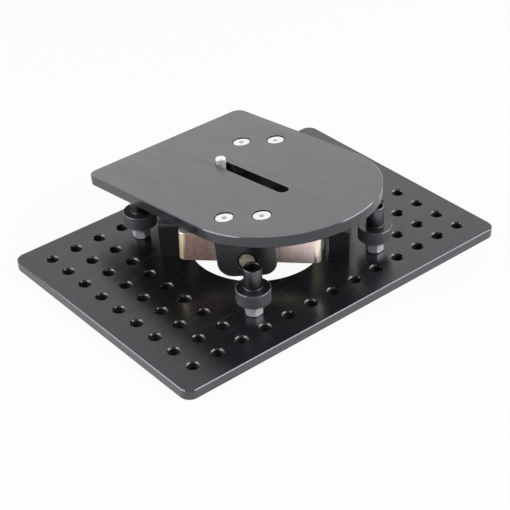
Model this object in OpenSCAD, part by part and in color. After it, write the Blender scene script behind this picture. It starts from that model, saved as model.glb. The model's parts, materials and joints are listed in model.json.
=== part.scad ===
// Leveling camera mount: a base plate with a grid of tapped holes, a two-axis gimbal on
// diagonal pivots, a D-shaped camera plate with a camera screw in a slot, and four screw jacks.
// Lengths are millimetres. The origin is the centre of the base plate's opening, at its underside.
// +X runs along the base plate, +Z up. The gimbal axes lie on the diagonals of X and Y.

/* [Base plate] */
// Length of the base plate, along X
base_l = 355.6; // [344:0.1:400]
// Width of the base plate, along Y
base_w = 254; // [246:0.1:300]
// Thickness of the base plate
base_t = 9.525; // [8:0.005:14]
// Corner radius of the base plate
base_r = 9.5; // [6:0.1:20]
// Chamfer along the edges of both plates
edge_c = 0.7; // [0.3:0.1:1.2]
// Diameter of the centre opening
opening_d = 120.65; // [100:0.05:126]

/* [Hole grid] */
// Distance between neighbouring holes
grid_pitch = 25.4; // [24:0.1:26]
// Holes along X
grid_nx = 13; // [13]
// Holes along Y
grid_ny = 9; // [9]
// Full columns of holes at each end of the base plate
grid_end_columns = 3; // [1:3]
// Thread diameter of the holes
hole_d = 9.525; // [7:0.005:10.5]
// Chamfer at the lower mouths of the holes
hole_c = 0.45; // [0.3:0.05:1]
// Chamfer at the upper mouths of the holes
hole_top_c = 1.1; // [0.3:0.05:1.5]

/* [Gimbal] */
// Height of the pivot axes above the base plate's top face
pivot_h = 28.575; // [27:0.005:36]
// Distance from the pivot axes up to the camera plate's underside
head_drop = 29.3; // [28.5:0.1:36]
// Tilt of the ring on the uprights, in degrees, 0 is level
ring_tilt = -5.2; // [-6:0.1:0]
// Tilt of the camera plate on the ring, in degrees, 0 is level
head_tilt = -5.2; // [-6:0.1:0]
// Outer width of the square ring
ring_w = 122.95; // [116:0.05:125]
// Height of the ring
ring_h = 26; // [22:0.1:28]
// Wall thickness of the ring
ring_t = 9.525; // [7:0.005:11]
// Outer corner radius of the ring
ring_r = 6.35; // [3:0.05:9]
// Inner corner radius of the ring
ring_inner_r = 3.2; // [1:0.1:6]
// Chamfer along the ring's edges
ring_c = 0.6; // [0.2:0.1:1.2]
// Gap between the ring and each lug
side_gap = 4; // [2:0.05:5]

/* [Lugs] */
// Width of the uprights and tabs
lug_w = 50.8; // [46:0.1:54]
// Thickness of the uprights and tabs
lug_t = 19.05; // [17:0.05:21]
// Distance from the pivot axis to a lug's rounded end
lug_end = 13.5; // [12.5:0.1:15]
// Corner radius of a lug's rounded end
lug_r = 12.7; // [6:0.1:18]
// Chamfer along the lugs' edges
lug_c = 0.5; // [0.2:0.1:1]
// Chamfer at the mouths of the lugs' bores
lug_bore_c = 0.5; // [0.2:0.1:1]

/* [Pivots] */
// Diameter of the pivot pins
pin_d = 14.2875; // [12:0.0025:16]
// How far a pin's end lies inside its lug's outer face
pin_recess = 1.1; // [0.5:0.1:3]
// Chamfer round a pin's outer end
pin_c = 0.4; // [0.2:0.1:1]
// Wall of the pivot bushes
bush_wall = 1.5875; // [1:0.0025:2.5]
// How far a bush's ends lie inside its lug's faces
bush_inset = 0.4; // [0.2:0.1:1.5]
// Outer diameter of the thrust washers
thrust_d = 23.8; // [20:0.1:25]

/* [Flat head screws] */
// Thread diameter of the plate screws
screw_d = 7.9375; // [6:0.0025:8.5]
// Length of the plate screws, head included
screw_l = 22.2; // [16:0.1:26]
// Head diameter of the plate screws
head_d = 15.2; // [14:0.1:16.4]
// Hex socket size of the plate screws
socket_af = 4.7625; // [3:0.0025:5.5]
// Depth of the hex sockets
socket_depth = 4; // [2:0.1:5]
// Diameter of the countersinks
sink_d = 17.4; // [16.4:0.1:19]
// Distance between the two screws of a lug
screw_pitch = 31.75; // [26:0.05:33]

/* [Camera plate] */
// Width of the camera plate and diameter of its round end
top_w = 179.8; // [172:0.1:184]
// Length of the camera plate, along Y
top_l = 254; // [246:0.1:262]
// Thickness of the camera plate
top_t = 9.525; // [8:0.005:12]
// Corner radius at the camera plate's flat end
top_r = 9.5; // [5:0.1:16]
// Length of the slot, end to end
slot_l = 95.25; // [80:0.05:98]
// Width of the slot
slot_w = 10.32; // [10:0.01:12]
// Chamfer along the slot's upper edge
slot_c = 0.3; // [0.1:0.05:0.8]

/* [Camera screw] */
// Thread diameter of the camera screw
stud_d = 9.525; // [8:0.005:9.6]
// Height of the camera screw above the plate
stud_out = 5.9; // [4:0.1:14]
// Radial relief of the screw's shank, which keeps the screw captive
shank_relief = 0.5; // [0.2:0.1:1]
// Diameter of the knob
knob_d = 28.6; // [24:0.1:32]
// Height of the knob
knob_h = 15.9; // [12:0.1:17]
// Outer diameter of the slide washer
washer_d = 25.4; // [20:0.1:28]
// Thickness of the slide washer
washer_t = 1.6; // [1:0.1:2.5]
// Diameter of the cross pin through the knob
cross_pin_d = 3.175; // [2:0.005:4]

/* [Jacks] */
// Distance of the jacks from the centre, along X
jack_x = 70; // [68:0.1:72]
// Distance of the jacks from the centre, along Y
jack_y = 79.6; // [78:0.1:81]
// Thread diameter of the jack studs
jack_stud_d = 9.525; // [8:0.005:10]
// Length of the jack studs
jack_stud_l = 50.8; // [46:0.1:52]
// Size of the lock nuts, across the flats
nut_af = 14.2875; // [13:0.0025:16]
// Height of the lock nuts
nut_h = 8.33; // [5:0.01:9]
// Diameter of the hand wheels
wheel_d = 30.2; // [26:0.1:34]
// Thickness of the hand wheels
wheel_t = 12.7; // [10:0.1:14]
// Diameter of the sleeves
sleeve_d = 15.875; // [14:0.005:17]
// Bore of the sleeves
sleeve_bore = 12; // [11:0.1:12.8]
// Height of the sleeves above the wheels
sleeve_h = 20; // [17:0.1:22]
// How far the collar at the foot of a sleeve stands out
collar_out = 0.4; // [0.3:0.05:3]
// Height of the collar at the foot of a sleeve
collar_h = 1.1; // [0.8:0.1:2]
// Height of the groove above the collar
groove_h = 0.8; // [0.4:0.1:2]
// Depth of the groove above the collar
groove_depth = 0.4; // [0.2:0.05:0.6]
// Chamfer along the rims of the hand wheels
wheel_c = 0.5; // [0.3:0.1:1]

/* [Clearances] */
// Radial clearance of a piece that is pressed or screwed tight
tight_gap = 0.02; // [0.01:0.01:0.05]
// Radial clearance of a piece that turns
run_gap = 0.05; // [0.02:0.01:0.1]
// Gap between faces that slide past each other
face_gap = 0.2; // [0.1:0.05:0.3]
// Gap between the lowest corner of the camera plate and the jacks under it
rest_gap = 0.3; // [0.3:0.05:0.8]

/* [Hidden] */
$fn = 72;
cut = 1;                                    // how far a cutter stands past a face
pivot_z = base_t + pivot_h;
lug_x = ring_w / 2 + side_gap + lug_t / 2;  // middle of a lug, from the pivot centre
ring_in = ring_w - 2 * ring_t;              // inner width of the ring
pin_l = ring_t + side_gap + lug_t - pin_recess;
bush_id = pin_d + 2 * run_gap;
bush_od = bush_id + 2 * bush_wall;
thrust_t = side_gap - 1.5 * face_gap;
round_y = (top_w - top_l) / 2;              // centre of the camera plate's round end
screw_y = (slot_l - slot_w) / 2;            // the camera screw rests at the slot's far end
cross_turn = 52;                            // direction of the knob's cross pin, in degrees
sink_angle = 41;                            // half the angle of a flat head
head_land = 0.5;                            // straight rim of a flat head
sink_wall = 0.05;                           // gap between a head and its countersink
head_sink = ((sink_d - head_d) / 2 - sink_wall) / tan(sink_angle) - head_land;
screw_hole_l = screw_l + head_sink - min(base_t, top_t) + 1.5;
knob_c = 1.2;
seat_depth = 4;                             // how deep a sleeve stands in its wheel
collar_c = 0.3;                             // chamfer round the top of a collar
sleeve_rim = 0.5;                           // chamfer round the mouth of a sleeve
stud_foot = 0.5;                            // the jack studs start this far above the underside
stud_c = 1;
nut_turns = [15, 40, 4, 0];                 // how far each lock nut is turned, in degrees

// Underside of the camera plate above the pivots: its normal, and its lowest height over a sleeve
diagonal = sqrt(0.5);
plate_n = [
    diagonal * (sin(head_tilt) - cos(head_tilt) * sin(ring_tilt)),
    -diagonal * (sin(head_tilt) + cos(head_tilt) * sin(ring_tilt)),
    cos(ring_tilt) * cos(head_tilt)
];
slope = norm([plate_n[0], plate_n[1]]) / plate_n[2];
function underside(p) = (head_drop - plate_n[0] * p[0] - plate_n[1] * p[1]) / plate_n[2];
jacks = [[-jack_x, jack_y], [jack_x, jack_y], [jack_x, -jack_y], [-jack_x, -jack_y]];
sleeve_top = pivot_z + min([for (p = jacks) underside(p)]) - slope * sleeve_d / 2 - rest_gap;
wheel_z = sleeve_top - sleeve_h - wheel_t;

// Shapes that several pieces share

function bar_section(w, t, c) = [
    [-w / 2 + c, 0], [w / 2 - c, 0], [w / 2, c], [w / 2, t - c],
    [w / 2 - c, t], [-w / 2 + c, t], [-w / 2, t - c], [-w / 2, c]
];

// Round plate with chamfered rims
module disc(d, t, c) {
    rotate_extrude() polygon([
        [0, 0], [d / 2 - c, 0], [d / 2, c], [d / 2, t - c], [d / 2 - c, t], [0, t]
    ]);
}

// Plate with rounded corners and chamfered edges, standing on z = 0
module slab(l, w, t, r, c) {
    rotate([90, 0, 90]) linear_extrude(l - 2 * r, center = true) polygon(bar_section(w, t, c));
    rotate([90, 0, 0]) linear_extrude(w - 2 * r, center = true) polygon(bar_section(l, t, c));
    for (x = [-1, 1], y = [-1, 1])
        translate([x * (l / 2 - r), y * (w / 2 - r), 0]) disc(2 * r, t, c);
}

// Cutter for a hole through a plate, with its lower and upper mouths chamfered
module hole(d, t, c, top_c) {
    rotate_extrude() polygon([
        [0, -cut], [d / 2 + c, -cut], [d / 2 + c, 0], [d / 2, c],
        [d / 2, t - top_c], [d / 2 + top_c, t], [d / 2 + top_c, t + cut], [0, t + cut]
    ]);
}

// Cutter for a countersunk hole whose mouth is at z = 0 and which runs down
module countersink(depth) {
    clear_r = screw_d / 2 + face_gap;
    rotate_extrude() polygon([
        [0, cut], [sink_d / 2, cut], [sink_d / 2, 0],
        [clear_r, -(sink_d / 2 - clear_r) / tan(sink_angle)], [clear_r, -depth - cut], [0, -depth - cut]
    ]);
}

// Tube along z, from z = 0
module tube(od, id, l) {
    difference() {
        cylinder(d = od, h = l);
        translate([0, 0, -cut]) cylinder(d = id, h = l + 2 * cut);
    }
}

// Flat head screw pointing down, with its mouth at z = 0
module flat_screw() {
    cone = (head_d - screw_d) / 2 / tan(sink_angle);
    translate([0, 0, -head_sink]) difference() {
        rotate_extrude() polygon([
            [0, 0], [head_d / 2, 0], [head_d / 2, -head_land], [screw_d / 2, -head_land - cone],
            [screw_d / 2, -screw_l + stud_c], [screw_d / 2 - stud_c, -screw_l], [0, -screw_l]
        ]);
        translate([0, 0, -socket_depth])
            cylinder(d = socket_af / cos(30), h = socket_depth + cut, $fn = 6);
    }
}

// Where things sit

module on_base_axes() { rotate(-45) children(); }
module on_ring() {
    translate([0, 0, pivot_z]) rotate(a = ring_tilt, v = [1, -1, 0]) rotate(-45) children();
}
module on_head() {
    translate([0, 0, pivot_z]) rotate(a = ring_tilt, v = [1, -1, 0])
        rotate(a = head_tilt, v = [1, 1, 0]) children();
}
module at_screws() { for (y = [-1, 1]) translate([0, y * screw_pitch / 2, 0]) children(); }
module at_jack(n) { translate([jacks[n][0], jacks[n][1], 0]) children(); }
module at_camera_screw() { on_head() translate([0, screw_y, head_drop]) children(); }

// Base

module base_plate() color([0.09, 0.09, 0.10]) difference() {
    slab(base_l, base_w, base_t, base_r, edge_c);
    hole(opening_d, base_t, edge_c, edge_c);
    for (i = [0 : grid_nx - 1], j = [0 : grid_ny - 1])
        if (i < grid_end_columns || i >= grid_nx - grid_end_columns || j == 0 || j == grid_ny - 1)
            translate([(i - (grid_nx - 1) / 2) * grid_pitch, (j - (grid_ny - 1) / 2) * grid_pitch, 0])
                hole(hole_d, base_t, hole_c, hole_top_c);
    for (n = [0 : 3]) at_jack(n)
        translate([0, 0, -cut]) cylinder(d = jack_stud_d, h = base_t + 2 * cut);
    on_base_axes() for (x = [-lug_x, lug_x])
        translate([x, 0, 0]) at_screws() mirror([0, 0, 1]) countersink(base_t);
}

// A lug with its pivot at the origin and its mounting face at z = -reach, bored along x
module lug(reach) {
    blank = reach + lug_end + lug_r + cut;
    difference() {
        translate([-lug_t / 2, 0, lug_end - blank / 2]) rotate([0, 90, 0])
            slab(blank, lug_w, lug_t, lug_r, lug_c);
        translate([-lug_t, -lug_w, -reach - blank]) cube([2 * lug_t, 2 * lug_w, blank]);
        rotate([0, 90, 0]) translate([0, 0, -lug_t / 2])
            hole(bush_od + 2 * tight_gap, lug_t, lug_bore_c, lug_bore_c);
        at_screws() translate([0, 0, -reach - cut])
            cylinder(d = screw_d + 2 * tight_gap, h = screw_hole_l + cut);
    }
}

module upright(side) color([0.07, 0.07, 0.08])
    on_base_axes() translate([side * lug_x, 0, pivot_z]) lug(pivot_h);

module upright_screws() color([0.8, 0.8, 0.82])
    on_base_axes() for (x = [-lug_x, lug_x])
        translate([x, 0, 0]) at_screws() mirror([0, 0, 1]) flat_screw();

// A bush centred in a lug whose middle is at x = lug_x
module bush() color([0.16, 0.15, 0.14])
    translate([lug_x - lug_t / 2 + bush_inset, 0, 0]) rotate([0, 90, 0])
        tube(bush_od, bush_id, lug_t - 2 * bush_inset);

module base_bush(turn) translate([0, 0, pivot_z]) on_base_axes() rotate(turn) bush();

module jack_stud(n) color([0.2, 0.2, 0.21]) at_jack(n) translate([0, 0, stud_foot]) {
    r = jack_stud_d / 2 - tight_gap;
    rotate_extrude() polygon([
        [0, 0], [r - stud_c, 0], [r, stud_c], [r, jack_stud_l - stud_c],
        [r - stud_c, jack_stud_l], [0, jack_stud_l]
    ]);
}

module lock_nut(n) color([0.82, 0.83, 0.86]) at_jack(n) translate([0, 0, base_t]) {
    r = nut_af / 2;
    corner_r = r / cos(30);
    fall = (corner_r + cut - r) * tan(30);
    difference() {
        intersection() {
            rotate(nut_turns[n]) cylinder(r = corner_r, h = nut_h, $fn = 6);
            rotate_extrude() polygon([
                [0, 0], [r, 0], [corner_r + cut, fall], [corner_r + cut, nut_h - fall], [r, nut_h], [0, nut_h]
            ]);
        }
        translate([0, 0, -cut]) cylinder(d = jack_stud_d, h = nut_h + 2 * cut);
    }
}

// Gimbal ring and its pins

module gimbal_ring() color([0.78, 0.68, 0.48]) on_ring() translate([0, 0, -ring_h / 2]) difference() {
    slab(ring_w, ring_w, ring_h, ring_r, ring_c);
    for (l = [ring_in, ring_in - 2 * ring_inner_r])
        translate([-l / 2, -(2 * ring_in - 2 * ring_inner_r - l) / 2, -cut])
            cube([l, 2 * ring_in - 2 * ring_inner_r - l, ring_h + 2 * cut]);
    for (x = [-1, 1], y = [-1, 1])
        translate([x, y, 0] * (ring_in / 2 - ring_inner_r)) translate([0, 0, -cut])
            cylinder(r = ring_inner_r, h = ring_h + 2 * cut);
    for (turn = [0, 90]) translate([0, 0, ring_h / 2]) rotate([0, 90, turn])
        cylinder(d = pin_d + 2 * tight_gap, h = ring_w + 2 * cut, center = true);
}

module pivot_pin(turn) color([0.72, 0.66, 0.5]) on_ring() rotate(turn)
    translate([ring_in / 2, 0, 0]) rotate([0, 90, 0]) rotate_extrude() polygon([
        [0, 0], [pin_d / 2, 0], [pin_d / 2, pin_l - pin_c], [pin_d / 2 - pin_c, pin_l], [0, pin_l]
    ]);

module thrust_washer(turn) color([0.2, 0.19, 0.18]) on_ring() rotate(turn)
    translate([ring_w / 2, 0, 0]) rotate([0, 90, 0]) tube(thrust_d, bush_id, thrust_t);

// Camera plate and its tabs

// Cutter for the slot, chamfered along its upper edge
module camera_slot() {
    straight = slot_l - slot_w;
    r = slot_w / 2;
    section = [
        [-r, -cut], [r, -cut], [r, top_t - slot_c], [r + slot_c, top_t], [r + slot_c, top_t + cut],
        [-r - slot_c, top_t + cut], [-r - slot_c, top_t], [-r, top_t - slot_c]
    ];
    rotate([90, 0, 0]) linear_extrude(straight, center = true) polygon(section);
    for (y = [-1, 1]) translate([0, y * straight / 2, 0]) rotate_extrude() polygon([
        [0, -cut], [r, -cut], [r, top_t - slot_c], [r + slot_c, top_t], [r + slot_c, top_t + cut],
        [0, top_t + cut]
    ]);
}

module camera_plate() color([0.46, 0.47, 0.48]) on_head() translate([0, 0, head_drop]) difference() {
    union() {
        difference() {
            translate([0, (top_l / 2 + round_y - 2 * top_r) / 2, 0])
                slab(top_w, top_l / 2 - round_y + 2 * top_r, top_t, top_r, edge_c);
            translate([-top_w, round_y - top_l, -cut]) cube([2 * top_w, top_l, top_t + 2 * cut]);
        }
        translate([0, round_y, 0]) disc(top_w, top_t, edge_c);
    }
    camera_slot();
    rotate(-45) for (y = [-lug_x, lug_x])
        translate([0, y, top_t]) rotate(90) at_screws() countersink(top_t);
}

module tab(turn) color([0.10, 0.10, 0.11])
    on_head() rotate(turn - 45) translate([lug_x, 0, 0]) mirror([0, 0, 1]) lug(head_drop);

module tab_screws() color([0.85, 0.85, 0.86])
    on_head() rotate(-45) for (y = [-lug_x, lug_x])
        translate([0, y, head_drop + top_t]) rotate(90) at_screws() flat_screw();

module head_bush(turn) on_head() rotate(turn - 45) bush();

// Camera screw

knob_top = -washer_t - 2 * face_gap;

module slide_washer() color([0.75, 0.75, 0.77]) at_camera_screw()
    translate([0, 0, -face_gap - washer_t]) tube(washer_d, stud_d + 4 * run_gap, washer_t);

module camera_screw() color([0.85, 0.85, 0.85]) at_camera_screw() difference() {
    r = stud_d / 2;
    shank_r = r - shank_relief;
    shank_top = top_t + face_gap;
    tip = top_t + stud_out;
    foot = knob_top - knob_h;
    rotate_extrude() polygon([
        [0, foot], [r, foot], [r, knob_top], [shank_r, knob_top], [shank_r, shank_top],
        [r, shank_top], [r, tip - stud_c], [r - stud_c, tip], [0, tip]
    ]);
    rotate(cross_turn) translate([0, 0, knob_top - knob_h / 2]) rotate([0, 90, 0])
        cylinder(d = cross_pin_d + 2 * tight_gap, h = knob_d + 2 * cut, center = true);
}

module screw_knob() color([0.08, 0.08, 0.09]) at_camera_screw() difference() {
    translate([0, 0, knob_top - knob_h]) disc(knob_d, knob_h, knob_c);
    translate([0, 0, knob_top - knob_h - cut])
        cylinder(d = stud_d + 2 * tight_gap, h = knob_h + 2 * cut);
    rotate(cross_turn) translate([0, 0, knob_top - knob_h / 2]) rotate([0, 90, 0])
        cylinder(d = cross_pin_d + 2 * tight_gap, h = knob_d + 2 * cut, center = true);
}

module knob_cross_pin() color([0.5, 0.5, 0.52]) at_camera_screw()
    rotate(cross_turn) translate([0, 0, knob_top - knob_h / 2]) rotate([0, 90, 0])
        cylinder(d = cross_pin_d, h = knob_d - 2 * knob_c, center = true);

// Jacks

module jack_wheel(n) color([0.07, 0.07, 0.08]) at_jack(n) translate([0, 0, wheel_z]) {
    bore_r = jack_stud_d / 2 + run_gap;
    seat_r = sleeve_d / 2 + run_gap;
    r = wheel_d / 2;
    rotate_extrude() polygon([
        [bore_r, 0], [r - wheel_c, 0], [r, wheel_c], [r, wheel_t - wheel_c], [r - wheel_c, wheel_t],
        [seat_r, wheel_t], [seat_r, wheel_t - seat_depth], [bore_r, wheel_t - seat_depth]
    ]);
}

module jack_sleeve(n) color([0.2, 0.2, 0.22]) at_jack(n) translate([0, 0, wheel_z + wheel_t]) {
    r = sleeve_d / 2;
    b = sleeve_bore / 2;
    collar_r = r + collar_out;
    collar_z = face_gap + collar_h;
    neck_r = r - groove_depth;
    neck_z = collar_z + groove_h;
    rotate_extrude() polygon([
        [b, face_gap - seat_depth], [r, face_gap - seat_depth], [r, face_gap], [collar_r, face_gap],
        [collar_r, collar_z - collar_c], [collar_r - collar_c, collar_z], [neck_r, collar_z],
        [neck_r, neck_z], [r, neck_z], [r, sleeve_h - sleeve_rim], [r - sleeve_rim, sleeve_h],
        [b + sleeve_rim, sleeve_h], [b, sleeve_h - sleeve_rim]
    ]);
}

base_plate();
upright(-1);  // left_upright
upright(1);  // right_upright
upright_screws();
base_bush(180);  // left_pivot_bush
base_bush(0);  // right_pivot_bush
jack_stud(0);  // left_jack_stud
jack_stud(1);  // back_jack_stud
jack_stud(2);  // right_jack_stud
jack_stud(3);  // front_jack_stud
lock_nut(0);  // left_lock_nut
lock_nut(1);  // back_lock_nut
lock_nut(2);  // right_lock_nut
lock_nut(3);  // front_lock_nut
gimbal_ring();
pivot_pin(180);  // left_pivot_pin
pivot_pin(90);  // back_pivot_pin
pivot_pin(0);  // right_pivot_pin
pivot_pin(270);  // front_pivot_pin
thrust_washer(180);  // left_thrust_washer
thrust_washer(90);  // back_thrust_washer
thrust_washer(0);  // right_thrust_washer
thrust_washer(270);  // front_thrust_washer
camera_plate();
tab(270);  // front_tab
tab(90);  // back_tab
tab_screws();
head_bush(270);  // front_pivot_bush
head_bush(90);  // back_pivot_bush
slide_washer();
camera_screw();
screw_knob();
knob_cross_pin();
jack_sleeve(0);  // left_jack_sleeve
jack_sleeve(1);  // back_jack_sleeve
jack_sleeve(2);  // right_jack_sleeve
jack_sleeve(3);  // front_jack_sleeve
jack_wheel(0);  // left_jack_wheel
jack_wheel(1);  // back_jack_wheel
jack_wheel(2);  // right_jack_wheel
jack_wheel(3);  // front_jack_wheel
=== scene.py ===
"""Looks of the leveling camera mount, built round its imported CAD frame. Lengths are metres."""

import json
import math

import bmesh
import bpy
from mathutils import Matrix, Vector


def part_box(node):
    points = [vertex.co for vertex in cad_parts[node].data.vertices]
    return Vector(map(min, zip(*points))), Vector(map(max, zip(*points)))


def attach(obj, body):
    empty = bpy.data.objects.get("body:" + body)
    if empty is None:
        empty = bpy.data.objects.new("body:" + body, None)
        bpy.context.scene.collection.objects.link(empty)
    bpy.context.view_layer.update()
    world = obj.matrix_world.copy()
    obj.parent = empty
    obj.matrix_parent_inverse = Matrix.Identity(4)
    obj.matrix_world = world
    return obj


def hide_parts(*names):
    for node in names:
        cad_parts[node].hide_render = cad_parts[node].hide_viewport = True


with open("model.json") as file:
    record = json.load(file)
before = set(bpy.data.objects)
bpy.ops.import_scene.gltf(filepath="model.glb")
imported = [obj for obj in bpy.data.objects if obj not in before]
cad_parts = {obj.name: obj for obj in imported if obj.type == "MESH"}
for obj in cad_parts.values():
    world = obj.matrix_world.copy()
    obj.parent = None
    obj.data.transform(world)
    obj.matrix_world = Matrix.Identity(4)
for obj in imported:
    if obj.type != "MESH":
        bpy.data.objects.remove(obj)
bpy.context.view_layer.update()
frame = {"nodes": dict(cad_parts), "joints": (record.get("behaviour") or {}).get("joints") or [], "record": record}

MM = 0.001
INCH = 0.0254
WELD = 1e-6  # points nearer than this are one
SIDES = ("left", "back", "right", "front")  # of the jacks, as the photograph shows them


def joint(name):
    """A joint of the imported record, by name."""
    return next(j for j in frame["joints"] if j["name"] == name)


def cad_range(node):
    """Lowest and highest point of a CAD node."""
    low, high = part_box(node)
    return low[2], high[2]


def middle_of(node):
    """Middle of a CAD node's box, at height 0."""
    low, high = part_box(node)
    return Vector(((low[0] + high[0]) / 2, (low[1] + high[1]) / 2, 0))


def way_from(azimuth, elevation):
    """The direction from the object to an azimuth, counted from -Y towards +X, and an elevation."""
    level = math.cos(elevation)
    return Vector((math.sin(azimuth) * level, -math.cos(azimuth) * level, math.sin(elevation)))


# Camera, fitted to the photograph's perspective

PHOTO_PX = 510
FOCAL_PX = 1447.71
SENSOR_MM = 36
CLIP = (0.05, 20)
AZIMUTH = math.radians(-38.963)
ELEVATION = math.radians(34.389)
ROLL = math.radians(-1.871)
LOOK_AT = Vector((-0.014517, -0.014859, 0.009525))
DISTANCE = 1.28772


def make_camera():
    """The camera, where the photograph was taken from."""
    back = way_from(AZIMUTH, ELEVATION)
    right = Vector((math.cos(AZIMUTH), math.sin(AZIMUTH), 0))
    up = back.cross(right)
    rolled_right = math.cos(ROLL) * right + math.sin(ROLL) * up
    rolled_up = math.cos(ROLL) * up - math.sin(ROLL) * right
    data = bpy.data.cameras.new("camera")
    data.sensor_width = SENSOR_MM
    data.lens = FOCAL_PX * SENSOR_MM / PHOTO_PX
    data.clip_start, data.clip_end = CLIP
    camera = bpy.data.objects.new("camera", data)
    bpy.context.scene.collection.objects.link(camera)
    turn = Matrix((rolled_right, rolled_up, back)).transposed()
    camera.matrix_world = Matrix.Translation(LOOK_AT + back * DISTANCE) @ turn.to_4x4()
    bpy.context.scene.camera = camera


# Node trees

NOISE_SPAN = (0.3, 0.7)  # most of a noise's values lie between these


class Nodes:
    """A node tree, with short calls that add and link its nodes."""

    def __init__(self, tree):
        self.tree = tree

    def feed(self, socket, value):
        """Links an output to a socket, or sets the socket's own value."""
        if isinstance(value, bpy.types.NodeSocket):
            self.tree.links.new(value, socket)
        else:
            socket.default_value = value

    def add(self, kind, settings=None, **inputs):
        """A node with its properties set and its sockets fed. A _ is a space in a socket's name."""
        node = self.tree.nodes.new(kind)
        for key, value in (settings or {}).items():
            setattr(node, key, value)
        for key, value in inputs.items():
            self.feed(node.inputs[key.replace("_", " ")], value)
        return node

    def math(self, operation, first, second=0.0):
        """The result of a calculation with one or two values."""
        node = self.add("ShaderNodeMath", {"operation": operation})
        self.feed(node.inputs[0], first)
        self.feed(node.inputs[1], second)
        return node.outputs[0]

    def weigh(self, first, share, second):
        """A share of the first value plus the rest of the second."""
        return self.math("ADD", self.math("MULTIPLY", first, share), self.math("MULTIPLY", second, 1 - share))

    def dot(self, first, second):
        """The dot product of two vectors."""
        node = self.add("ShaderNodeVectorMath", {"operation": "DOT_PRODUCT"})
        self.feed(node.inputs[0], first)
        self.feed(node.inputs[1], second)
        return node.outputs["Value"]

    def split(self, vector):
        """The X, Y and Z outputs of a vector."""
        return self.add("ShaderNodeSeparateXYZ", Vector=vector).outputs

    def step(self, value, start, end, low=0.0, high=1.0, kind="LINEAR"):
        """Low where a value is at start, high where it is at end, and clamped outside them."""
        node = self.add("ShaderNodeMapRange", {"interpolation_type": kind}, Value=value,
                        From_Min=start, From_Max=end, To_Min=low, To_Max=high)
        return node.outputs[0]

    def ramp(self, value, stops):
        """A colour ramp. Stops are (place, colour)."""
        node = self.add("ShaderNodeValToRGB", Fac=value)
        elements = node.color_ramp.elements
        for element, (place, colour) in zip((elements[0], elements[1]), (stops[0], stops[-1])):
            element.position = place
            element.color = (*colour, 1)
        for place, colour in stops[1:-1]:
            elements.new(place).color = (*colour, 1)
        return node.outputs["Color"]

    def mix(self, share, first, second):
        """Blends two colours, or two values, by a share from 0 to 1."""
        node = self.add("ShaderNodeMix", {"data_type": "RGBA"})
        self.feed(node.inputs["Factor"], share)
        for name, colour in (("A", first), ("B", second)):
            socket = next(i for i in node.inputs if i.name == name and i.type == "RGBA")
            self.feed(socket, colour if isinstance(colour, bpy.types.NodeSocket) else (*colour, 1))
        return next(o for o in node.outputs if o.type == "RGBA")

    def mix_shaders(self, share, first, second):
        """Blends two shaders by a share from 0 to 1."""
        node = self.add("ShaderNodeMixShader")
        for socket, value in zip(node.inputs, (share, first, second)):
            self.feed(socket, value)
        return node.outputs[0]


class Finish(Nodes):
    """A material, with the nodes that feed its Principled shader."""

    def __init__(self, name):
        self.material = bpy.data.materials.new(name)
        self.material.use_nodes = True
        super().__init__(self.material.node_tree)
        self.shader = self.tree.nodes["Principled BSDF"]
        coordinates = self.add("ShaderNodeTexCoord")
        self.place = coordinates.outputs["Object"]
        self.normal = coordinates.outputs["Normal"]

    def set(self, **inputs):
        """Sets or links the shader's own sockets."""
        for key, value in inputs.items():
            self.feed(self.shader.inputs[key.replace("_", " ")], value)

    def stretched(self, scale):
        """The object's coordinates, scaled along each axis."""
        return self.add("ShaderNodeMapping", Vector=self.place, Scale=scale).outputs[0]

    def noise(self, scale, detail=3.0, roughness=0.55):
        """Noise from 0 to 1. Its scale in 1/m is one number, or one along each axis."""
        scale = scale if isinstance(scale, tuple) else (scale,) * 3
        node = self.add("ShaderNodeTexNoise", Scale=1.0, Detail=detail, Roughness=roughness,
                        Vector=self.stretched(scale))
        return node.outputs["Fac"]

    def spread(self, noise, low, high):
        """Maps noise onto low to high."""
        return self.step(noise, *NOISE_SPAN, low, high)

    def around(self, noise, middle, vary):
        """A value that noise moves by as much as vary, either way."""
        return self.spread(noise, middle - vary, middle + vary)

    def between(self, noise, low, high):
        """A colour between two, by noise."""
        return self.ramp(self.spread(noise, 0, 1), ((0, low), (1, high)))

    def shades(self, noise, colour, darkest, lightest):
        """A colour that noise darkens and lightens by two factors."""
        return self.between(noise, scaled(colour, darkest), scaled(colour, lightest))

    def bump(self, height, distance, strength):
        """Small relief of a real depth in metres, seen at a share of its strength."""
        relief = self.add("ShaderNodeBump", Height=height, Distance=distance, Strength=strength)
        self.set(Normal=relief.outputs[0])

    def stretch_gloss(self, direction):
        """Anisotropic highlights stretch along a direction that is fixed to the object."""
        spaces = {"vector_type": "VECTOR", "convert_from": "OBJECT", "convert_to": "WORLD"}
        self.set(Tangent=self.add("ShaderNodeVectorTransform", spaces, Vector=direction).outputs[0])


# Colours, depths and masks

ANODISED_IOR = 1.7  # of the dyed oxide layer
TINT = (0.92, 0.95, 1.0)  # of reflections in that layer
GRAIN_DEPTH = 0.01 * MM
BRUSH_DEPTH = 0.02 * MM
TONES = (0.85, 1.15)  # darkest and lightest tone of a turned or milled finish
CHAMFER_UP = 0.65  # how far a chamfer looks up
CHAMFER_SPAN = (0.30, 0.20)  # distances from that value at which a face is no chamfer, and surely one


def grey(value, blue=1.04):
    """A grey with a little more blue."""
    return value, value, value * blue


def scaled(colour, factor):
    """A colour times a factor."""
    return [c * factor for c in colour]


def level_share(t):
    """How far a face looks up or down: 1 on level faces, 0.7 on chamfers and 0 on upright ones."""
    return t.math("ABSOLUTE", t.split(t.normal)["Z"])


def chamfers(t, level):
    """1 on chamfers, and 0 on level and upright faces."""
    return t.step(t.math("ABSOLUTE", t.math("SUBTRACT", level, CHAMFER_UP)), *CHAMFER_SPAN)


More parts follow.
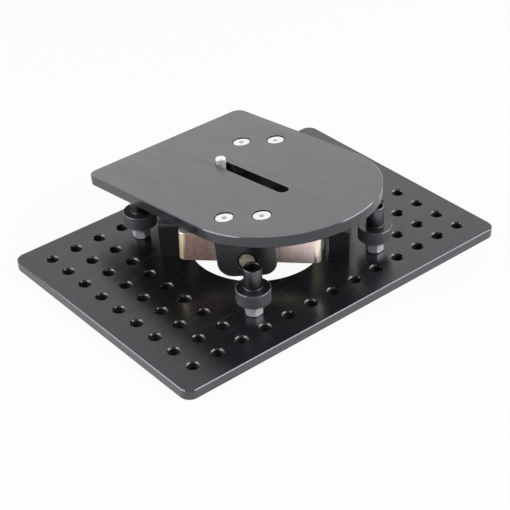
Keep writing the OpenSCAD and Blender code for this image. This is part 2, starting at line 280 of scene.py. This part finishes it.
def outside(t, limits):
    """1 beyond a distance from the middle along X or Y, and 0 within both."""
    place = t.split(t.place)
    beyond = []
    for axis, limit in zip("XY", limits):
        beyond.append(t.math("GREATER_THAN", t.math("ABSOLUTE", place[axis]), limit))
    return t.math("MAXIMUM", *beyond)


def away_from(t, points, distance):
    """0 nearer than a distance to any of the points, and 1 elsewhere."""
    away = 1.0
    for point in points:
        gap = t.add("ShaderNodeVectorMath", {"operation": "DISTANCE"}, Vector=t.place)
        gap.inputs[1].default_value = point
        away = t.math("MINIMUM", away, t.math("GREATER_THAN", gap.outputs["Value"], distance))
    return away


def parts_of(node):
    """Middle of each separate solid of a CAD node."""
    bm = bmesh.new()
    bm.from_mesh(frame["nodes"][node].data)
    bmesh.ops.remove_doubles(bm, verts=bm.verts, dist=WELD)
    left = set(bm.verts)
    middles = []
    while left:
        group, edge = set(), [left.pop()]
        while edge:
            vert = edge.pop()
            group.add(vert)
            near = {e.other_vert(vert) for e in vert.link_edges} - group
            left -= near
            edge += near
        low = [min(v.co[k] for v in group) for k in range(3)]
        high = [max(v.co[k] for v in group) for k in range(3)]
        middles.append(Vector(((a + b) / 2 for a, b in zip(low, high))))
    bm.free()
    return sorted(middles, key=lambda m: (round(m.x, 4), round(m.y, 4)))


# The two brushed plates

BASE_SIDE = (0.045, 0.046, 0.052)  # colour of the base plate's milled side faces
PLATE_SIDE = (0.014, 0.0145, 0.017)  # colour of the camera plate's milled side faces
SIDE_SHADES = (0.6, 1.4)  # darkest and lightest milling mark
SIDE_ROUGH = (0.18, 0.08)  # of those marks
MILLING = (9, 9, 2400)  # their noise scale
FINE_STREAKS = (12, 1100)  # noise scales of the brushing, along it and across it
BROAD_STREAKS = (6, 120)
FINE_SHARE = 0.6  # and the rest is of the broad ones
SCRATCHES = (16, 1500)
SCRATCH_FROM = (0.62, 0.74)  # noise values at which a scratch starts, and is full
IN_SHADE = (0.006, 0.006, 0.007)  # painted shade inside the plates' cut-outs
EDGE_COLOUR = (0.10, 0.103, 0.113)  # metal that shines through on the outer chamfers
EDGE_METAL = 0.72  # how metallic those chamfers are
EDGE_ROUGH = 0.12
FLAT_FROM = (0.76, 0.90)  # how far a face looks up, from a countersink's wall, which gets painted shade, to a flat face
BASE_MARGIN = 0.0105  # past the outermost holes, and no wider than the corners' radius
SLOT_REACH = (0.013, 0.058)  # half of the area round the slot, along X and Y
SINK_REACH = 0.0145  # from a screw's middle past its countersink


def base_edges(t):
    """1 along the base plate's outer edges, past the holes, and 0 over the holes, which get painted shade inside.
    """
    low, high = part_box("base_plate")
    return outside(t, (high[0] - BASE_MARGIN, high[1] - BASE_MARGIN))


def plate_edges(t):
    """1 on the camera plate away from its slot and its countersinks, and 0 near them, which get painted shade
    inside.
    """
    return t.math("MULTIPLY", away_from(t, parts_of("tab_screws"), SINK_REACH), outside(t, SLOT_REACH))


def streaks(t, way, scales, detail=2, roughness=0.55):
    """Noise in streaks along X or Y. Its scales are those along and across a streak."""
    along, across = scales
    scale = (along, across, across) if way == "X" else (across, along, across)
    return t.noise(scale, detail, roughness)


def brushed(name, way, colour, side_colour, vary, scratch, rough, anisotropic, edges_at, reflection_in_painted_shade=1.0):
    """Anodised aluminium brushed along X or Y, with milled side faces and painted shade in its cut-outs."""
    t = Finish(name)
    level = level_share(t)
    outside_painted_shade = edges_at(t)
    edges = t.math("MULTIPLY", chamfers(t, level), outside_painted_shade)
    flat = t.step(level, *FLAT_FROM)
    fine = streaks(t, way, FINE_STREAKS, detail=5, roughness=0.7)
    both = t.weigh(fine, FINE_SHARE, streaks(t, way, BROAD_STREAKS))
    scratches = t.step(streaks(t, way, SCRATCHES), *SCRATCH_FROM)
    top = t.mix(scratches, t.shades(both, colour, 1 - vary, 1 + vary), scaled(colour, scratch))
    cuts = t.noise(MILLING)
    # Side faces in the cut-outs get a near-black painted shade.
    side = t.mix(outside_painted_shade, IN_SHADE, t.shades(cuts, side_colour, *SIDE_SHADES))
    t.set(Base_Color=t.mix(edges, t.mix(flat, side, top), EDGE_COLOUR), IOR=ANODISED_IOR)
    t.set(Metallic=t.math("MULTIPLY", edges, EDGE_METAL))
    plain_rough = t.mix(flat, t.spread(cuts, *SIDE_ROUGH), t.spread(both, *rough))
    t.set(Roughness=t.mix(edges, plain_rough, [EDGE_ROUGH] * 3), Anisotropic=anisotropic)
    # Reflections in the cut-outs are dimmed through the tint, as painted shade.
    shade = t.mix(outside_painted_shade, scaled(TINT, reflection_in_painted_shade), TINT)
    t.set(Specular_Tint=t.mix(flat, shade, TINT))
    t.stretch_gloss((0, 1, 0) if way == "X" else (1, 0, 0))
    t.bump(fine, BRUSH_DEPTH, strength=0.25)
    return t.material


# The ring's yellow chromate over zinc

ZINC_FACE = (
    (0.0, (0.40, 0.33, 0.20)),
    (0.25, (0.52, 0.34, 0.26)),
    (0.5, (0.62, 0.38, 0.32)),
    (0.8, (0.72, 0.47, 0.43)),
    (1.0, (0.80, 0.60, 0.54)),
)
ZINC_STREAKS = (0.78, 0.66, 0.62)  # pale upright streaks
ZINC_PAINTED_LIGHT = (1.0, 0.80, 0.77)  # painted light towards the ring's right corner
CORNER_PAINTED_HIGHLIGHT = ((0.86, 0.76, 0.36), (1.0, 0.92, 0.58))  # painted highlight on the rounded corners
CORNER_PAINTED_LIGHT = (1.0, 0.92, 0.76)  # painted light on the corners towards the right
OLIVE = ((0.38, 0.36, 0.20), (0.78, 0.72, 0.52))  # below and along the lower edge
# painted highlight on the ring's top faces
RING_TOP_PAINTED_HIGHLIGHT = (0.95, 0.92, 0.84)
# painted shade on the faces inside the ring
RING_INSIDE_PAINTED_SHADE = (0.15, 0.125, 0.10)
ZINC_METAL = 0.55  # and 1 towards the right corner, along with the painted light there
ZINC_ROUGH = (0.26, 0.32)
CORNER_FROM = (0.80, 0.97)  # how far a face looks along X or Y, from the faces to the rounded corners
TILTED = (0.25, 0.6)  # how far a face looks up or down, from the upright faces to the level ones
FOOT_BAND = 0.004  # height of the olive band along the lower edge
FOOT_SHARE = 0.8  # of olive in that band
PAINTED_LIGHT_WAY = (0.7071, -0.7071, 0)  # along the front face, to the right in the photograph
PAINTED_LIGHT_FROM = (0.0, 0.034)  # distances from the middle that way, over which the painted light comes in
INNER_FROM = -0.0283  # place times normal, below which a face looks at the ring's middle
DRIFT = (70, 70, 60)  # noise scales of broad mottling, fine specks, upright streaks and small dents
SPECKS = 420
STREAKS = (210, 210, 9)
DENTS = (300, 300, 60)
DRIFT_SHARE = 0.9  # of the mottling, and the rest is of the specks
STREAK_SHARE = (0.0, 0.4)  # of their own colour in the streaks
PAINTED_LIGHT_SHARE = (0.7, 1.0)  # of the painted light's colour, at most


def right_side_painted_light(t):
    """Painted light: 0 on the ring's left half and 1 towards its right corner."""
    return t.step(t.dot(t.place, PAINTED_LIGHT_WAY), *PAINTED_LIGHT_FROM)


def inner_faces(t):
    """1 on the faces that look at the ring's middle."""
    return t.math("LESS_THAN", t.dot(t.stretched((1, 1, 0)), t.normal), INNER_FROM)


def foot_band(t):
    """1 at the ring's lowest point and 0 above a low band."""
    bottom = cad_range("gimbal_ring")[0]
    return t.step(t.split(t.place)["Z"], bottom + FOOT_BAND, bottom)


def ring_sides(t, painted_right_light, streak, mottle):
    """Rose brown upright faces with streaks and painted light, olive along the foot, and a cream painted highlight
    on the corners.
    """
    normal = t.split(t.normal)
    across = t.math("MAXIMUM", t.math("ABSOLUTE", normal["X"]), t.math("ABSOLUTE", normal["Y"]))
    face = t.mix(t.spread(streak, *STREAK_SHARE), t.ramp(t.spread(mottle, 0, 1), ZINC_FACE), ZINC_STREAKS)
    # Towards the right corner the faces turn pale: painted light.
    face = t.mix(t.math("MULTIPLY", painted_right_light, t.spread(streak, *PAINTED_LIGHT_SHARE)), face, ZINC_PAINTED_LIGHT)
    face = t.mix(t.math("MULTIPLY", foot_band(t), FOOT_SHARE), face, t.between(mottle, *OLIVE))
    # The rounded corners get a cream painted highlight.
    corner = t.mix(painted_right_light, t.between(streak, *CORNER_PAINTED_HIGHLIGHT), CORNER_PAINTED_LIGHT)
    return t.mix(t.step(across, *CORNER_FROM), face, corner)


def yellow_zinc(name):
    """Yellow chromate over zinc: mottled sides, a pale painted highlight on top, olive below, painted shade
    inside.
    """
    t = Finish(name)
    # Painted light, stronger towards the ring's right corner.
    painted_right_light = right_side_painted_light(t)
    speck = t.noise(SPECKS, detail=4)
    streak = t.noise(STREAKS)
    mottle = t.weigh(t.noise(DRIFT, detail=2), DRIFT_SHARE, speck)
    height = t.split(t.normal)["Z"]
    below = t.step(height, *(-limit for limit in TILTED))
    outer = t.mix(below, ring_sides(t, painted_right_light, streak, mottle), t.between(mottle, *OLIVE))
    # The top faces get a pale painted highlight.
    outer = t.mix(t.step(height, *TILTED), outer, RING_TOP_PAINTED_HIGHLIGHT)
    # The faces inside the ring get a dark painted shade.
    t.set(Base_Color=t.mix(inner_faces(t), outer, RING_INSIDE_PAINTED_SHADE))
    t.set(Metallic=t.math("ADD", ZINC_METAL, t.math("MULTIPLY", painted_right_light, 1 - ZINC_METAL)))
    t.set(Roughness=t.spread(speck, *ZINC_ROUGH))
    t.bump(t.noise(DENTS), BRUSH_DEPTH, strength=0.2)
    return t.material


# The other finishes

GRAIN = 2500  # noise scale of a machined surface's grain
TURNED_BANDS = (40, 40, 2600)  # noise scale of turning marks
WORN_SHADES = (0.7, 1.3)  # darkest and lightest part of a knurl
KNURL_TOP = (0.75, 0.95)  # how far a face looks up, from the knurl to the turned top


def anodised(name, colour, roughness):
    """Machined and anodised aluminium with a fine even grain."""
    t = Finish(name)
    t.set(Base_Color=t.shades(t.noise(60), colour, *TONES), IOR=ANODISED_IOR, Specular_Tint=(*TINT, 1.0))
    t.set(Roughness=t.around(t.noise(900), roughness, 0.015))
    t.bump(t.noise(GRAIN), GRAIN_DEPTH, strength=0.2)
    return t.material


def turned(name, colour, roughness, anisotropic=0.5):
    """Metal turned round Z, with fine bands along Z."""
    t = Finish(name)
    bands = t.noise(TURNED_BANDS, detail=2)
    t.set(Base_Color=t.shades(bands, colour, *TONES), Metallic=1.0)
    t.set(Roughness=t.around(bands, roughness, 0.08), Anisotropic=anisotropic)
    t.stretch_gloss((0, 0, 1))
    t.bump(bands, GRAIN_DEPTH, strength=0.4)
    return t.material


def bright(name, colour, roughness, metallic=1.0, vary=0.07, marks_scale=160):
    """Bright plated or stainless steel with handling marks."""
    t = Finish(name)
    marks = t.noise(marks_scale, detail=5)
    t.set(Base_Color=t.shades(marks, colour, 1 - vary, 1), Metallic=metallic)
    t.set(Roughness=t.spread(t.noise(500), roughness - 0.04, roughness + 0.06))
    t.bump(marks, GRAIN_DEPTH, strength=0.1)
    return t.material


def knurled(name, top, side, roughness):
    """Anodised black with a darker turned top and a lighter knurl, whose points are worn."""
    t = Finish(name)
    worn = t.shades(t.noise(900, detail=2), side, *WORN_SHADES)
    t.set(Base_Color=t.mix(t.step(level_share(t), *KNURL_TOP), worn, top), IOR=ANODISED_IOR)
    t.set(Roughness=t.around(t.noise(300), roughness, 0.03), Specular_Tint=(*TINT, 1.0))
    t.bump(t.noise(GRAIN), GRAIN_DEPTH, strength=0.4)
    return t.material


def plastic(name, colour, roughness):
    """Matt plastic with a fine grain."""
    t = Finish(name)
    t.set(Base_Color=t.shades(t.noise(200), colour, 0.9, 1), Roughness=roughness)
    t.bump(t.noise(1500), GRAIN_DEPTH, strength=0.4)
    return t.material


def threads_in_shade(name):
    """Near-black threads with a dull, weak gloss, as painted shade inside the holes."""
    t = Finish(name)
    painted_shade_tone = t.noise(700)
    t.set(Base_Color=t.between(painted_shade_tone, grey(0.004), grey(0.009)))
    t.set(Roughness=t.spread(painted_shade_tone, 0.6, 0.75), Specular_IOR_Level=0.2)
    return t.material


def make_materials():
    """A material for each of the record's slots, for the camera screw, and for the holes' threads."""
    recipes = {
        "base_black": (brushed, dict(
            way="X", colour=grey(0.008, 1.3), side_colour=BASE_SIDE, vary=0.4, scratch=7, rough=(0.33, 0.19),
            anisotropic=0.6, edges_at=base_edges)),
        "plate_grey": (brushed, dict(
            way="Y", colour=grey(0.069, 1.08), side_colour=PLATE_SIDE, vary=0.22, scratch=1.35,
            rough=(0.40, 0.28), anisotropic=0.3, edges_at=plate_edges, reflection_in_painted_shade=0.1)),
        "lug_black": (anodised, dict(colour=grey(0.027, 1.15), roughness=0.28)),
        "yellow_zinc": (yellow_zinc, {}),
        "pin_steel": (bright, dict(
            colour=(0.92, 0.84, 0.66), roughness=0.3, metallic=0.4, vary=0.62, marks_scale=330)),
        "bush_bronze": (bright, dict(colour=(0.05, 0.045, 0.04), roughness=0.4)),
        "thrust_dark": (plastic, dict(colour=(0.014, 0.014, 0.015), roughness=0.5)),
        "bright_screw": (bright, dict(colour=(0.94, 0.94, 0.93), roughness=0.28, metallic=0.35)),
        "polished_steel": (bright, dict(colour=(0.97, 0.97, 0.96), roughness=0.12, metallic=0.3)),
        "bright_zinc": (bright, dict(colour=(0.93, 0.97, 1.0), roughness=0.17, metallic=0.28)),
        "stud_dark": (turned, dict(colour=grey(0.1), roughness=0.3)),
        "sleeve_black": (turned, dict(colour=grey(0.12, 1.12), roughness=0.34, anisotropic=0.3)),
        "wheel_black": (knurled, dict(top=grey(0.02, 1.15), side=grey(0.11, 1.12), roughness=0.24)),
        "knob_black": (knurled, dict(top=grey(0.02, 1.15), side=grey(0.05, 1.15), roughness=0.26)),
        "hole_thread_black": (threads_in_shade, {}),
    }
    return {name: make(name, **values) for name, (make, values) in recipes.items()}


MATERIALS = make_materials()
SLOTS = {part["node"]: part["material_slot"] for part in frame["record"]["subparts"]}
OWN_FINISH = {"camera_screw": "polished_steel", "hole_threads": "hole_thread_black"}


def finish_surface(piece, slot):
    """Gives a piece its own finish, or else its slot's."""
    piece.data.materials.clear()
    piece.data.materials.append(MATERIALS[OWN_FINISH.get(piece.name, slot)])


# The white surround

WORLD_LIGHT = 0.12  # strength of the even light on matt surfaces
WALL_WAY = (0.629, 0.778, 0)  # direction of the white wall, which glossy faces mirror
WALL_SIDES = (0.15, 0.45)  # cosines from that direction, from the room to the wall
WALL_BY_HEIGHT = (  # its brightness by the sine of the elevation
    (0.0, 1.0),
    (0.51, 1.0),
    (0.57, 0.75),
    (0.66, 0.64),
    (0.71, 0.45),
    (0.78, 0.08),
    (1.0, 1.0),
)
WALL_STRENGTH = 1.35
ROOM = 0.1  # brightness of the dim room round the wall, as glossy faces see it
FILL = 0.4  # brightness of that room high up
FILL_HEIGHT = (0.62, 0.76)  # sines of the elevations between them


def seen_by(t, rays, plain, seen):
    """A plain shader, but another one for the named kinds of ray."""
    path = t.add("ShaderNodeLightPath").outputs
    kind = path[rays[0]]
    for ray in rays[1:]:
        kind = t.math("MAXIMUM", kind, path[ray])
    return t.mix_shaders(kind, plain, seen)


def wall_colour(t):
    """A white wall on one side of a dim room. It darkens above, under a white ceiling."""
    direction = t.add("ShaderNodeTexCoord").outputs["Generated"]
    height = t.split(direction)["Z"]
    wall = t.ramp(height, [(place, (value, value, value)) for place, value in WALL_BY_HEIGHT])
    room = t.step(height, *FILL_HEIGHT, ROOM, FILL)
    return t.mix(t.step(t.dot(direction, WALL_WAY), *WALL_SIDES, kind="SMOOTHSTEP"), room, wall)


def make_world():
    """Even light for matt surfaces, the wall and the room for glossy ones, and white for the camera."""
    world = bpy.data.worlds.new("studio")
    bpy.context.scene.world = world
    world.use_nodes = True
    t = Nodes(world.node_tree)
    t.tree.nodes.remove(t.tree.nodes["Background"])
    white = (1, 1, 1, 1)
    even = t.add("ShaderNodeBackground", Color=white, Strength=WORLD_LIGHT).outputs[0]
    mirrored = t.add("ShaderNodeBackground", Color=wall_colour(t), Strength=WALL_STRENGTH).outputs[0]
    backdrop = t.add("ShaderNodeBackground", Color=white).outputs[0]
    light = seen_by(t, ("Is Glossy Ray",), even, mirrored)
    shown = seen_by(t, ("Is Camera Ray", "Is Transmission Ray"), light, backdrop)
    t.feed(t.tree.nodes["World Output"].inputs["Surface"], shown)


# The floor and the lamps

FLOOR_SIZE = 8
FLOOR_GAP = 0.0002  # between the object's underside and the floor
FLOOR_GREY = 0.93
FLOOR_GLOW = 0.93  # share of plain white in what the camera and glossy faces see of the floor
LAMPS = (("left_box", -74.5, 1.36), ("right_box", 85, 1.85))  # name, degrees from the camera, width
LAMP_HEIGHT = 0.8
LAMP_RADIANCE = 4.5
LAMP_ELEVATION = math.radians(37)
LAMP_DISTANCE = 1.6


def clear_where(t):
    """1 on the floor's underside and for rays that start right on it. The base then shows from below."""
    back = t.add("ShaderNodeNewGeometry").outputs["Backfacing"]
    length = t.add("ShaderNodeLightPath").outputs["Ray Length"]
    return t.math("MAXIMUM", back, t.math("LESS_THAN", length, 2 * FLOOR_GAP))


def make_floor():
    """A pale floor. The camera sees it nearly white, with the object's shadow kept."""
    bpy.ops.mesh.primitive_plane_add(size=FLOOR_SIZE, location=(0, 0, -FLOOR_GAP))
    floor = bpy.context.object
    floor.name = "floor"
    material = bpy.data.materials.new("floor")
    material.use_nodes = True
    t = Nodes(material.node_tree)
    t.tree.nodes.remove(t.tree.nodes["Principled BSDF"])
    pale = t.add("ShaderNodeBsdfDiffuse", Color=(FLOOR_GREY, FLOOR_GREY, FLOOR_GREY, 1)).outputs[0]
    glow = t.add("ShaderNodeEmission", Strength=1.0).outputs[0]
    clear = t.add("ShaderNodeBsdfTransparent").outputs[0]
    white = t.mix_shaders(FLOOR_GLOW, pale, glow)
    shown = seen_by(t, ("Is Camera Ray", "Is Glossy Ray", "Is Transmission Ray"), pale, white)
    t.feed(t.tree.nodes["Material Output"].inputs["Surface"], t.mix_shaders(clear_where(t), shown, clear))
    floor.data.materials.append(material)


def add_lamp(name, azimuth, width):
    """A soft box aimed at the object."""
    data = bpy.data.lights.new(name, "AREA")
    data.shape = "RECTANGLE"
    data.size, data.size_y = width, LAMP_HEIGHT
    data.energy = LAMP_RADIANCE * math.pi * width * LAMP_HEIGHT
    lamp = bpy.data.objects.new(name, data)
    bpy.context.scene.collection.objects.link(lamp)
    back = way_from(azimuth, LAMP_ELEVATION)
    lamp.location = back * LAMP_DISTANCE
    lamp.rotation_mode = "QUATERNION"
    lamp.rotation_quaternion = back.to_track_quat("Z", "Y")


def make_light():
    """The surround, the floor and the two soft boxes."""
    make_world()
    make_floor()
    for name, turn, width in LAMPS:
        add_lamp(name, AZIMUTH + math.radians(turn), width)


# Building pieces


def new_piece(name, bm, body, slot, smooth_below, stands_for=()):
    """Links a mesh as a piece, smooth below an edge angle, with the finish of its slot or its own, and ties it to
    its body.
    """
    mesh = bpy.data.meshes.new(name)
    bm.to_mesh(mesh)
    bm.free()
    piece = bpy.data.objects.new(name, mesh)
    bpy.context.scene.collection.objects.link(piece)
    mesh.shade_smooth()
    mesh.set_sharp_from_angle(angle=math.radians(smooth_below))
    finish_surface(piece, slot)
    if stands_for:
        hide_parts(*stands_for)
    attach(piece, body)


def axis_frame(origin, axis):
    """A matrix whose Z axis lies along an axis through an origin."""
    turn = Vector(axis).to_track_quat("Z", "Y").to_matrix().to_4x4()
    return Matrix.Translation(Vector(origin)) @ turn


def reach(node, place):
    """Lowest and highest point of a CAD node along a frame's Z axis, and its radius about that axis."""
    points = [place.inverted() @ v.co for v in frame["nodes"][node].data.vertices]
    heights = [p.z for p in points]
    return min(heights), max(heights), max(math.hypot(p.x, p.y) for p in points)


def lathe(bm, rings, columns, place=Matrix(), closed=True):
    """Skins rings round Z. A ring is a height and a radius, which may be a function of the angle."""
    rows = []
    for z, radius in rings:
        row = []
        for k in range(columns):
            angle = 2 * math.pi * k / columns
            r = radius(angle) if callable(radius) else radius
            row.append(bm.verts.new(place @ Vector((r * math.cos(angle), r * math.sin(angle), z))))
        rows.append(row)
    pairs = list(zip(rows, rows[1:]))
    if closed:
        pairs.append((rows[-1], rows[0]))
    for low, high in pairs:
        for k in range(columns):
            m = (k + 1) % columns
            bm.faces.new((low[k], low[m], high[m], high[k]))
    return rows


def saw(value):
    """0 at whole numbers and 1 half way between them."""
    return 1 - abs(2 * (value % 1) - 1)


# Threads

PITCH = INCH / 16  # of the 3/8 in coarse thread
THREAD_RADIUS = 3 / 16 * INCH
THREAD_DEPTH = 0.55 * PITCH
THREAD_FLAT = 1 / 6  # share of the pitch that is flat at the root, and at the crest
STUD_ROWS, STUD_COLUMNS = 6, 28  # rings in a turn, and points in a ring
STUD_TIP = 0.8 * MM  # from a stud's end to its thread
STUD_CHAMFER = 0.5 * MM  # how much less an end's radius is than the thread's root
HOLE_ROWS, HOLE_COLUMNS = 5, 22
HOLE_FOOT, HOLE_MOUTH = 0.5 * MM, 1.1 * MM  # from the base plate's faces to the threads in its holes
HOLE_LINING = 0.02 * MM  # between a hole's wall and its thread
LAST_COLUMN, LAST_ROW = 6, 4  # of the grid, counted from the middle
END_COLUMNS = 3  # full columns of holes at each end of the base plate


def thread_ring(z, root, crest, fade):
    """One ring of a right-hand thread with flat roots and crests. Fade 0 leaves the root's radius."""
    def radius(angle):
        height = saw(z / PITCH - angle / (2 * math.pi))
        ridge = min(1.0, max(0.0, (height - THREAD_FLAT) / (1 - 2 * THREAD_FLAT)))
        return root + (crest - root) * ridge * fade
    return z, radius


def thread_rings(low, high, root, crest, rows):
    """Rings of a thread from low to high, run out over the last turn at both ends."""
    count = round((high - low) / PITCH * rows)
    heights = [low + (high - low) * i / count for i in range(count + 1)]
    return [thread_ring(z, root, crest, min(1.0, (z - low) / PITCH, (high - z) / PITCH)) for z in heights]


def hole_centres():
    """The base plate's grid of tapped holes: full columns at the ends and one row along each side."""
    for i in range(-LAST_COLUMN, LAST_COLUMN + 1):
        for j in range(-LAST_ROW, LAST_ROW + 1):
            if abs(i) > LAST_COLUMN - END_COLUMNS or abs(j) == LAST_ROW:
                yield i * INCH, j * INCH


def make_hole_threads():
    """The threads in the base plate's holes, which start below the chamfered mouths."""
    low, high = cad_range("base_plate")
    wall = THREAD_RADIUS - HOLE_LINING
    bm = bmesh.new()
    for x, y in hole_centres():
        rings = thread_rings(low + HOLE_FOOT, high - HOLE_MOUTH, wall, wall - THREAD_DEPTH, HOLE_ROWS)
        lathe(bm, rings[::-1], HOLE_COLUMNS, Matrix.Translation((x, y, 0)), closed=False)
    new_piece("hole_threads", bm, "base", "base_black", smooth_below=60)


def make_stud(side):
    """A jack stud with a rolled thread and chamfered ends."""
    node = f"{side}_jack_stud"
    low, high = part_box(node)
    radius = (high[0] - low[0]) / 2
    root = radius - THREAD_DEPTH
    rings = [(low[2], root - STUD_CHAMFER)]
    rings += thread_rings(low[2] + STUD_TIP, high[2] - STUD_TIP, root, radius, STUD_ROWS)
    rings += [(high[2], root - STUD_CHAMFER)]
    bm = bmesh.new()
    rows = lathe(bm, rings, STUD_COLUMNS, Matrix.Translation(middle_of(node)), closed=False)
    bm.faces.new(rows[0][::-1])
    bm.faces.new(rows[-1])
    new_piece(f"{side}_threaded_stud", bm, "base", "stud_dark", smooth_below=50, stands_for=[node])


# Knurled wheels and the knob

KNURL_STEPS = 4  # steps of the lattice to a diamond
KNURL_START = 1.1  # times the rim's chamfer, from a wheel's or the knob's face to its knurl
WHEEL_KNURLS = 84
WHEEL_KNURL_DEPTH = 0.3 * MM
WHEEL_RIM = 0.5 * MM  # chamfer
RUN_GAP = 0.05 * MM  # between a wheel and its stud, and round its sleeve
SLEEVE_RADIUS = 5 / 16 * INCH
SEAT_DEPTH = 4 * MM  # how deep a sleeve stands in its wheel
KNOB_KNURLS = 60
KNOB_KNURL_DEPTH = 0.5 * MM
KNOB_RIM = 1.2 * MM  # chamfer
KNOB_GAP = 0.02 * MM  # between the knob and its screw
HUB_SHARE = 0.45  # of the knob's radius
HUB_CHAMFER = 0.3 * MM
DISH_DEPTH = 0.9 * MM
DISH_INSET = 0.4 * MM  # from the hub to the flat floor of the dish round it
DISH_FLOOR, DISH_MOUTH = 2.6 * MM, 2.0 * MM  # from the knob's outside to the dish


def knurl_rings(low, high, radius, depth, count):
    """Rings of a diamond knurl: grooves that cross."""
    pitch = 2 * math.pi * radius / count
    steps = round((high - low) / pitch * KNURL_STEPS)

    def ring(z):
        def surface(angle):
            turn = count * angle / (2 * math.pi)
            rise = (z - low) / pitch
            return radius - depth * (1 - min(saw(turn + rise), saw(turn - rise)))
        return z, surface
    return [ring(low + (high - low) * i / steps) for i in range(steps + 1)]


def knurled_side(bottom, top, radius, rim, depth, count):
    """A knurled outside with its lower and upper rim."""
    margin = KNURL_START * rim
    rings = [(bottom, radius - rim), (bottom + rim, radius)]
    rings += knurl_rings(bottom + margin, top - margin, radius, depth, count)
    return rings + [(top - rim, radius), (top, radius - rim)]


def make_wheel(side):
    """A jack's hand wheel with a fine diamond knurl between two plain rims."""
    node = f"{side}_jack_wheel"
    low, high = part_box(node)
    bottom, top = low[2], high[2]
    radius = (high[0] - low[0]) / 2
    bore = THREAD_RADIUS + RUN_GAP
    seat = SLEEVE_RADIUS + RUN_GAP
    rings = [(top - SEAT_DEPTH, bore), (bottom, bore)]
    rings += knurled_side(bottom, top, radius, WHEEL_RIM, WHEEL_KNURL_DEPTH, WHEEL_KNURLS)
    rings += [(top, seat), (top - SEAT_DEPTH, seat)]
    bm = bmesh.new()
    lathe(bm, rings, KNURL_STEPS * WHEEL_KNURLS, Matrix.Translation(middle_of(node)))
    new_piece(f"{side}_knurled_wheel", bm, f"{side}_wheel", "wheel_black", smooth_below=32, stands_for=[node])


def make_knob():
    """The clamping knob under the plate: coarse diamond knurl, and a dished underside."""
    turn = joint("screw_turn")
    place = axis_frame(turn["pos_m"], turn["axis"])
    bottom, top, radius = reach("screw_knob", place)
    bore = THREAD_RADIUS + KNOB_GAP
    hub = HUB_SHARE * radius
    rings = [(top, bore), (bottom, bore), (bottom, hub - HUB_CHAMFER), (bottom + HUB_CHAMFER, hub)]
    rings += [(bottom + DISH_DEPTH, hub + DISH_INSET), (bottom + DISH_DEPTH, radius - DISH_FLOOR)]
    rings += [(bottom, radius - DISH_MOUTH)]
    rings += knurled_side(bottom, top, radius, KNOB_RIM, KNOB_KNURL_DEPTH, KNOB_KNURLS)
    bm = bmesh.new()
    lathe(bm, rings, KNURL_STEPS * KNOB_KNURLS, place)
    new_piece("knurled_knob", bm, "screw", "knob_black", smooth_below=32, stands_for=["screw_knob"])


# Lock nuts

NUT_COLUMNS = 96
NUT_FOOT = 0.4 * MM  # height of the turned face that a nut stands on
FOOT_RADIUS = 0.93  # of that face, as a share of the distance to a flat
CHAMFER_RADIUS = 0.97  # where the corners' chamfers start, as such a share
CORNER_SLOPE = math.tan(math.radians(30))
CORNER_STEPS = (0, 0.2, 0.45, 0.7, 1.0)  # mm from a nut's end face to the rings of its chamfered corners
NUT_BORE_CHAMFER = 0.6 * MM
HALF_SIDE = math.radians(30)  # from a corner to the middle of a flat


def make_nut(side):
    """A hex lock nut with chamfered corners and a turned face below."""
    node = f"{side}_lock_nut"
    bottom, top = cad_range(node)
    centre = middle_of(f"{side}_jack_stud")
    points = [v.co for v in frame["nodes"][node].data.vertices]
    corner = max(points, key=lambda p: math.hypot(p.x - centre.x, p.y - centre.y)) - centre
    flat = math.hypot(corner.x, corner.y) * math.cos(HALF_SIDE)

    def ring(z):
        room = min(z - bottom - NUT_FOOT, top - z) / CORNER_SLOPE + CHAMFER_RADIUS * flat

        def radius(angle):
            from_corner = (angle + HALF_SIDE) % (2 * HALF_SIDE) - HALF_SIDE
            return min(room, flat / math.cos(HALF_SIDE - abs(from_corner)))
        return z, radius

    heights = [bottom + NUT_FOOT + step * MM for step in CORNER_STEPS]
    heights += [top - step * MM for step in reversed(CORNER_STEPS)]
    foot = FOOT_RADIUS * flat
    rings = [(bottom, THREAD_RADIUS), (bottom, foot), (bottom + NUT_FOOT, foot)] + [ring(z) for z in heights]
    rings += [(top, THREAD_RADIUS + NUT_BORE_CHAMFER), (top - NUT_BORE_CHAMFER, THREAD_RADIUS)]
    start = math.atan2(corner.y, corner.x)
    bm = bmesh.new()
    lathe(bm, rings, NUT_COLUMNS, Matrix.Translation(centre) @ Matrix.Rotation(start, 4, "Z"))
    new_piece(f"{side}_hex_nut", bm, "base", "bright_zinc", smooth_below=20, stands_for=[node])


# CAD nodes that show as they are

EDGE_BREAKS = {  # mm, by the end of a node's name
    "jack_sleeve": 0.1,
    "camera_screw": 0.12,
    "tab_screws": 0.12,
    "upright_screws": 0.12,
    "pivot_pin": 0.08,
    "upright": 0.1,
    "tab": 0.1,
    "gimbal_ring": 0.12,
}
BREAK_SEGMENTS = 2
BREAK_FROM = math.radians(28)  # edges flatter than this stay as they are


def dress_nodes():
    """CAD nodes get their slot's material, and some a small rounding of their edges."""
    for name, node in frame["nodes"].items():
        finish_surface(node, SLOTS[name])
        width = next((w for kind, w in EDGE_BREAKS.items() if name.endswith(kind)), None)
        if width is None:
            continue
        weld = node.modifiers.new("weld", "WELD")
        weld.merge_threshold = WELD
        bevel = node.modifiers.new("bevel", "BEVEL")
        bevel.width = width * MM
        bevel.segments = BREAK_SEGMENTS
        bevel.limit_method = "ANGLE"
        bevel.angle_limit = BREAK_FROM
        bevel.harden_normals = True


bpy.context.scene.view_settings.view_transform = "Standard"
make_camera()
make_light()
dress_nodes()
make_hole_threads()
for side in SIDES:
    make_stud(side)
    make_wheel(side)
    make_nut(side)
make_knob()
